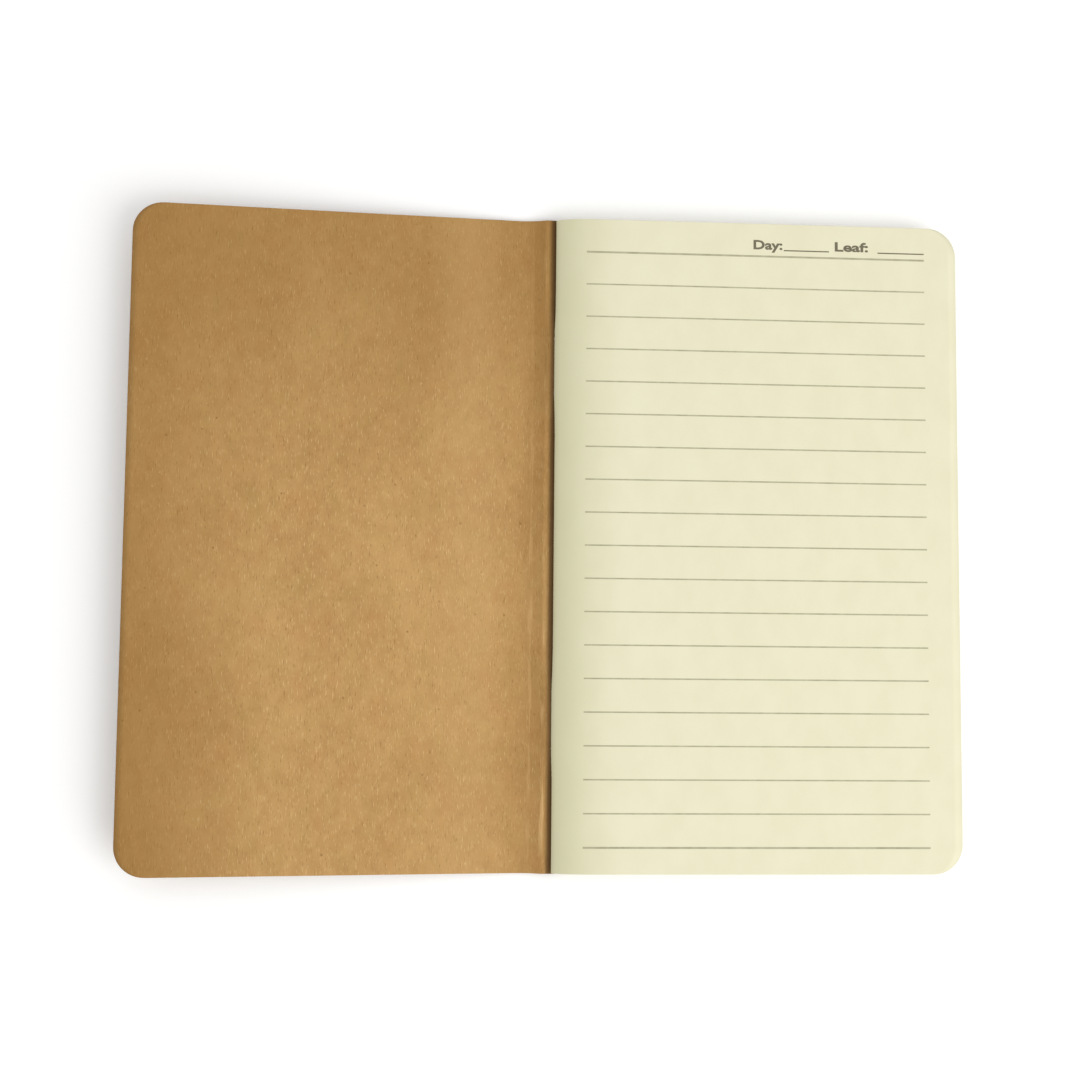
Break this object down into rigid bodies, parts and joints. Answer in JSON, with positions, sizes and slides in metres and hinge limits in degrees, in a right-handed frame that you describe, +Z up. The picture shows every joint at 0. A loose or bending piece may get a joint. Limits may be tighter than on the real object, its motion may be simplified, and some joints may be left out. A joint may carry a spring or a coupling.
{
  "type": "pocket notebook",
  "caption": "Saddle-stitched pocket notebook with rounded corners, a plain kraft card cover folded open and ruled cream leaves.",
  "frame": {"origin": "middle of the flat underside of the closed booklet, on the surface it lies on", "axes": "+X from the spine to the fore edge, +Y to the head of the pages, +Z up out of the page; at rest the front cover lies open towards -X"},
  "size_m": [0.1773, 0.14, 0.008],
  "materials": {
    "kraft_card": "uncoated brown kraft card, matt, with fine fibres",
    "writing_paper": "uncoated cream writing paper, matt, ruled",
    "staple_wire": "drawn and galvanised stitching wire"
  },
  "bodies": {
    "booklet": {"back_cover": "kraft_card", "fold_01": "writing_paper", "fold_02": "writing_paper", "fold_03": "writing_paper", "fold_04": "writing_paper", "fold_05": "writing_paper", "fold_06": "writing_paper", "fold_07": "writing_paper", "fold_08": "writing_paper", "fold_09": "writing_paper", "fold_10": "writing_paper", "fold_11": "writing_paper", "fold_12": "writing_paper", "staple_foot": "staple_wire", "staple_head": "staple_wire"},
    "front_cover": {"front_cover": "kraft_card"},
    "leaf_01": {"leaf_01": "writing_paper"},
    "leaf_02": {"leaf_02": "writing_paper"},
    "leaf_03": {"leaf_03": "writing_paper"},
    "leaf_04": {"leaf_04": "writing_paper"},
    "leaf_05": {"leaf_05": "writing_paper"},
    "leaf_06": {"leaf_06": "writing_paper"},
    "leaf_07": {"leaf_07": "writing_paper"},
    "leaf_08": {"leaf_08": "writing_paper"},
    "leaf_09": {"leaf_09": "writing_paper"},
    "leaf_10": {"leaf_10": "writing_paper"},
    "leaf_11": {"leaf_11": "writing_paper"},
    "leaf_12": {"leaf_12": "writing_paper"},
    "leaf_13": {"leaf_13": "writing_paper"},
    "leaf_14": {"leaf_14": "writing_paper"},
    "leaf_15": {"leaf_15": "writing_paper"},
    "leaf_16": {"leaf_16": "writing_paper"},
    "leaf_17": {"leaf_17": "writing_paper"},
    "leaf_18": {"leaf_18": "writing_paper"},
    "leaf_19": {"leaf_19": "writing_paper"},
    "leaf_20": {"leaf_20": "writing_paper"},
    "leaf_21": {"leaf_21": "writing_paper"},
    "leaf_22": {"leaf_22": "writing_paper"},
    "leaf_23": {"leaf_23": "writing_paper"},
    "leaf_24": {"leaf_24": "writing_paper"}
  },
  "joints": [
    {"name": "open_cover", "type": "hinge", "parent": "booklet", "child": "front_cover", "pos_m": [-0.04422, 0, 0.00241], "axis": [0, -1, 0], "range_deg": [-175, 5]},
    {"name": "turn_leaf_01", "type": "hinge", "parent": "booklet", "child": "leaf_01", "pos_m": [-0.04279, 0, 0.00241], "axis": [0, -1, 0], "range_deg": [0, 160]},
    {"name": "turn_leaf_02", "type": "hinge", "parent": "booklet", "child": "leaf_02", "pos_m": [-0.04279, 0, 0.00241], "axis": [0, -1, 0], "range_deg": [0, 158.41]},
    {"name": "turn_leaf_03", "type": "hinge", "parent": "booklet", "child": "leaf_03", "pos_m": [-0.04279, 0, 0.00241], "axis": [0, -1, 0], "range_deg": [0, 156.33]},
    {"name": "turn_leaf_04", "type": "hinge", "parent": "booklet", "child": "leaf_04", "pos_m": [-0.04279, 0, 0.00241], "axis": [0, -1, 0], "range_deg": [0, 154.24]},
    {"name": "turn_leaf_05", "type": "hinge", "parent": "booklet", "child": "leaf_05", "pos_m": [-0.04279, 0, 0.00241], "axis": [0, -1, 0], "range_deg": [0, 152.15]},
    {"name": "turn_leaf_06", "type": "hinge", "parent": "booklet", "child": "leaf_06", "pos_m": [-0.04279, 0, 0.00241], "axis": [0, -1, 0], "range_deg": [0, 150.06]},
    {"name": "turn_leaf_07", "type": "hinge", "parent": "booklet", "child": "leaf_07", "pos_m": [-0.04279, 0, 0.00241], "axis": [0, -1, 0], "range_deg": [0, 147.98]},
    {"name": "turn_leaf_08", "type": "hinge", "parent": "booklet", "child": "leaf_08", "pos_m": [-0.04279, 0, 0.00241], "axis": [0, -1, 0], "range_deg": [0, 145.89]},
    {"name": "turn_leaf_09", "type": "hinge", "parent": "booklet", "child": "leaf_09", "pos_m": [-0.04279, 0, 0.00241], "axis": [0, -1, 0], "range_deg": [0, 143.8]},
    {"name": "turn_leaf_10", "type": "hinge", "parent": "booklet", "child": "leaf_10", "pos_m": [-0.04279, 0, 0.00241], "axis": [0, -1, 0], "range_deg": [0, 141.72]},
    {"name": "turn_leaf_11", "type": "hinge", "parent": "booklet", "child": "leaf_11", "pos_m": [-0.04279, 0, 0.00241], "axis": [0, -1, 0], "range_deg": [0, 139.63]},
    {"name": "turn_leaf_12", "type": "hinge", "parent": "booklet", "child": "leaf_12", "pos_m": [-0.04279, 0, 0.00241], "axis": [0, -1, 0], "range_deg": [0, 137.54]},
    {"name": "turn_leaf_13", "type": "hinge", "parent": "booklet", "child": "leaf_13", "pos_m": [-0.04279, 0, 0.00241], "axis": [0, -1, 0], "range_deg": [0, 135.46]},
    {"name": "turn_leaf_14", "type": "hinge", "parent": "booklet", "child": "leaf_14", "pos_m": [-0.04279, 0, 0.00241], "axis": [0, -1, 0], "range_deg": [0, 133.37]},
    {"name": "turn_leaf_15", "type": "hinge", "parent": "booklet", "child": "leaf_15", "pos_m": [-0.04279, 0, 0.00241], "axis": [0, -1, 0], "range_deg": [0, 131.28]},
    {"name": "turn_leaf_16", "type": "hinge", "parent": "booklet", "child": "leaf_16", "pos_m": [-0.04279, 0, 0.00241], "axis": [0, -1, 0], "range_deg": [0, 129.2]},
    {"name": "turn_leaf_17", "type": "hinge", "parent": "booklet", "child": "leaf_17", "pos_m": [-0.04279, 0, 0.00241], "axis": [0, -1, 0], "range_deg": [0, 127.11]},
    {"name": "turn_leaf_18", "type": "hinge", "parent": "booklet", "child": "leaf_18", "pos_m": [-0.04279, 0, 0.00241], "axis": [0, -1, 0], "range_deg": [0, 125.02]},
    {"name": "turn_leaf_19", "type": "hinge", "parent": "booklet", "child": "leaf_19", "pos_m": [-0.04279, 0, 0.00241], "axis": [0, -1, 0], "range_deg": [0, 122.94]},
    {"name": "turn_leaf_20", "type": "hinge", "parent": "booklet", "child": "leaf_20", "pos_m": [-0.04279, 0, 0.00241], "axis": [0, -1, 0], "range_deg": [0, 120.85]},
    {"name": "turn_leaf_21", "type": "hinge", "parent": "booklet", "child": "leaf_21", "pos_m": [-0.04279, 0, 0.00241], "axis": [0, -1, 0], "range_deg": [0, 118.76]},
    {"name": "turn_leaf_22", "type": "hinge", "parent": "booklet", "child": "leaf_22", "pos_m": [-0.04279, 0, 0.00241], "axis": [0, -1, 0], "range_deg": [0, 116.67]},
    {"name": "turn_leaf_23", "type": "hinge", "parent": "booklet", "child": "leaf_23", "pos_m": [-0.04279, 0, 0.00241], "axis": [0, -1, 0], "range_deg": [0, 114.59]},
    {"name": "turn_leaf_24", "type": "hinge", "parent": "booklet", "child": "leaf_24", "pos_m": [-0.04279, 0, 0.00241], "axis": [0, -1, 0], "range_deg": [0, 112.5]}
  ],
  "couplings": [
    {"joint": "turn_leaf_02", "follows": "turn_leaf_01", "ratio": 0.98696},
    {"joint": "turn_leaf_03", "follows": "turn_leaf_01", "ratio": 0.97391},
    {"joint": "turn_leaf_04", "follows": "turn_leaf_01", "ratio": 0.96087},
    {"joint": "turn_leaf_05", "follows": "turn_leaf_01", "ratio": 0.94783},
    {"joint": "turn_leaf_06", "follows": "turn_leaf_01", "ratio": 0.93478},
    {"joint": "turn_leaf_07", "follows": "turn_leaf_01", "ratio": 0.92174},
    {"joint": "turn_leaf_08", "follows": "turn_leaf_01", "ratio": 0.9087},
    {"joint": "turn_leaf_09", "follows": "turn_leaf_01", "ratio": 0.89565},
    {"joint": "turn_leaf_10", "follows": "turn_leaf_01", "ratio": 0.88261},
    {"joint": "turn_leaf_11", "follows": "turn_leaf_01", "ratio": 0.86957},
    {"joint": "turn_leaf_12", "follows": "turn_leaf_01", "ratio": 0.85652},
    {"joint": "turn_leaf_13", "follows": "turn_leaf_01", "ratio": 0.84348},
    {"joint": "turn_leaf_14", "follows": "turn_leaf_01", "ratio": 0.83043},
    {"joint": "turn_leaf_15", "follows": "turn_leaf_01", "ratio": 0.81739},
    {"joint": "turn_leaf_16", "follows": "turn_leaf_01", "ratio": 0.80435},
    {"joint": "turn_leaf_17", "follows": "turn_leaf_01", "ratio": 0.7913},
    {"joint": "turn_leaf_18", "follows": "turn_leaf_01", "ratio": 0.77826},
    {"joint": "turn_leaf_19", "follows": "turn_leaf_01", "ratio": 0.76522},
    {"joint": "turn_leaf_20", "follows": "turn_leaf_01", "ratio": 0.75217},
    {"joint": "turn_leaf_21", "follows": "turn_leaf_01", "ratio": 0.73913},
    {"joint": "turn_leaf_22", "follows": "turn_leaf_01", "ratio": 0.72609},
    {"joint": "turn_leaf_23", "follows": "turn_leaf_01", "ratio": 0.71304},
    {"joint": "turn_leaf_24", "follows": "turn_leaf_01", "ratio": 0.7}
  ]
}
